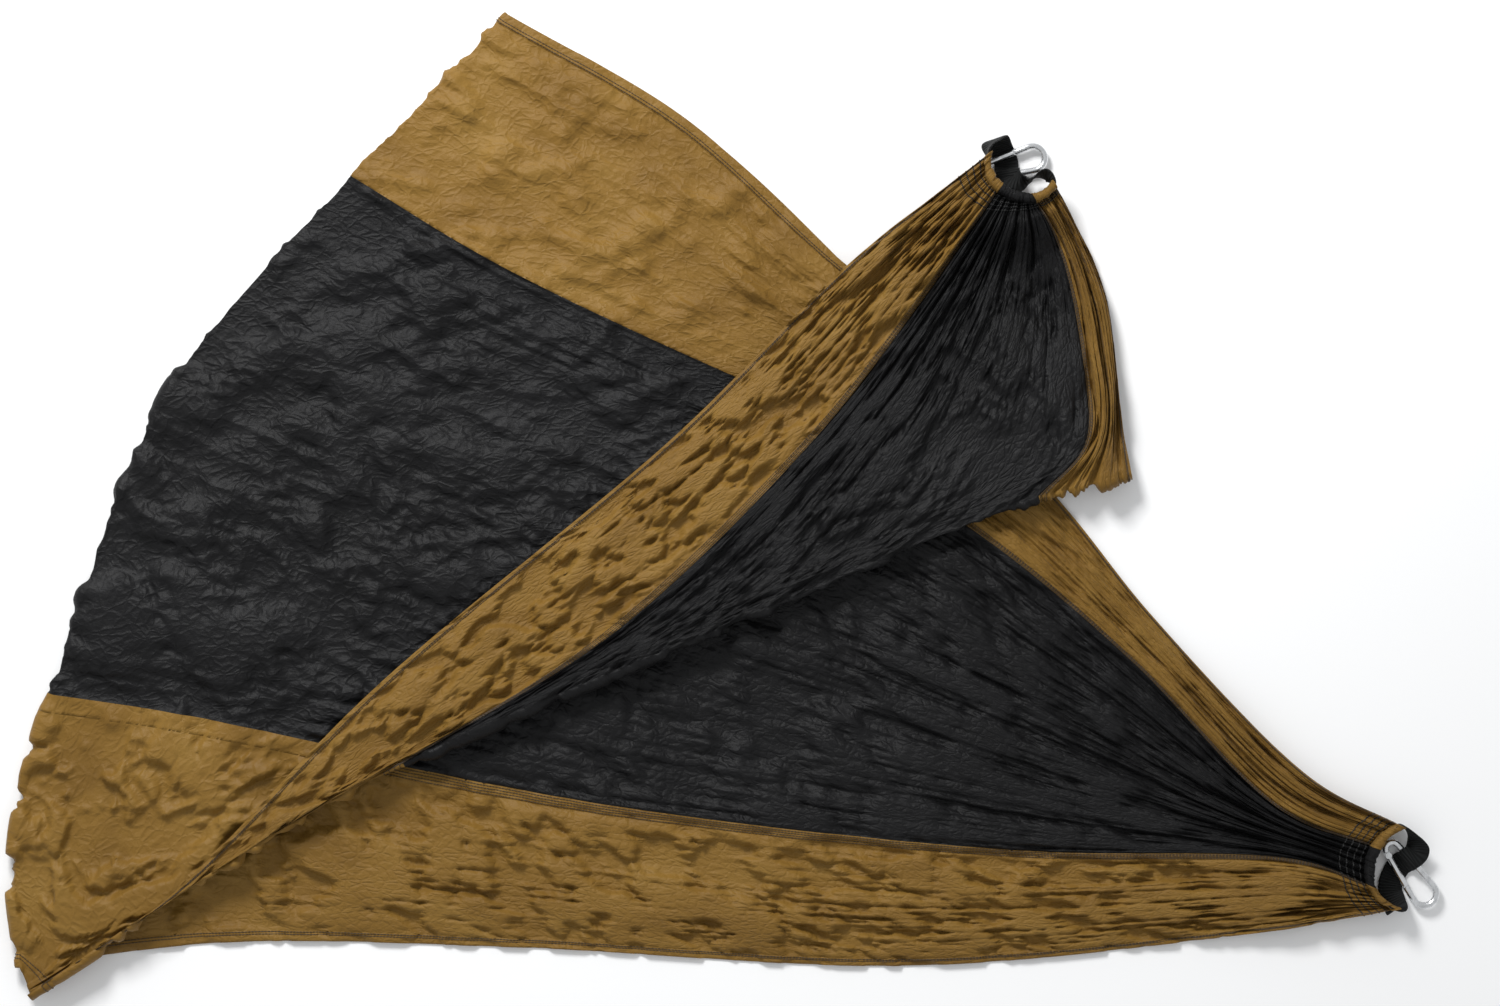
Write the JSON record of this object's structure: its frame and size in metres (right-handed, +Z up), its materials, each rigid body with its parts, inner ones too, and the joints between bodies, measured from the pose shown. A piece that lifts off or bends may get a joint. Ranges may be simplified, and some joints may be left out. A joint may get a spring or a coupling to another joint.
{
  "type": "camping hammock",
  "caption": "Camping hammock of crinkled nylon in tan and black, folded flat on the floor, with a webbing loop and steel snap hook at each gathered end.",
  "frame": {"origin": "middle of the bounding box of the hammock as laid, on the floor", "axes": "+Z up from the floor, +X along the laid hammock towards the end whose hook is free, +Y towards the other hook"},
  "size_m": [1.4312, 0.9884, 0.0448],
  "materials": {
    "tan_nylon": "matt",
    "black_nylon": "matt",
    "webbing": "matt",
    "thread": "matt",
    "steel": "polished"
  },
  "bodies": {
    "hammock": {"side_panel_1": "tan_nylon", "centre_panel": "black_nylon", "side_panel_2": "tan_nylon", "webbing_a": "webbing", "webbing_a_bartack": "thread", "webbing_b": "webbing", "webbing_b_bartack": "thread"},
    "hook_a": {"hook_a_body": "steel", "hook_a_pin": "steel"},
    "gate_a": {"hook_a_gate": "steel", "hook_a_plunger": "steel", "hook_a_spring": "steel"},
    "hook_b": {"hook_b_body": "steel", "hook_b_pin": "steel"},
    "gate_b": {"hook_b_gate": "steel", "hook_b_plunger": "steel", "hook_b_spring": "steel"}
  },
  "joints": [
    {"name": "hook_a_slide", "type": "slide", "parent": "hammock", "child": "hook_a", "axis": [0.9842, 0.1772, 0], "range_m": [0, 0.008]},
    {"name": "gate_a_hinge", "type": "hinge", "parent": "hook_a", "child": "gate_a", "pos_m": [0.2585, 0.33802, 0.007], "axis": [0, 0, -1], "range_deg": [0, 16], "stiffness_Nm_per_rad": 0.15, "springref_deg": -34.38},
    {"name": "hook_b_swing", "type": "hinge", "parent": "hammock", "child": "hook_b", "pos_m": [0.68432, -0.3513, 0.007], "axis": [-0.6599, 0.7514, 0], "range_deg": [0, 90]},
    {"name": "gate_b_hinge", "type": "hinge", "parent": "hook_b", "child": "gate_b", "pos_m": [0.66481, -0.35055, 0.007], "axis": [0, 0, 1], "range_deg": [0, 16], "stiffness_Nm_per_rad": 0.15, "springref_deg": -34.38}
  ]
}
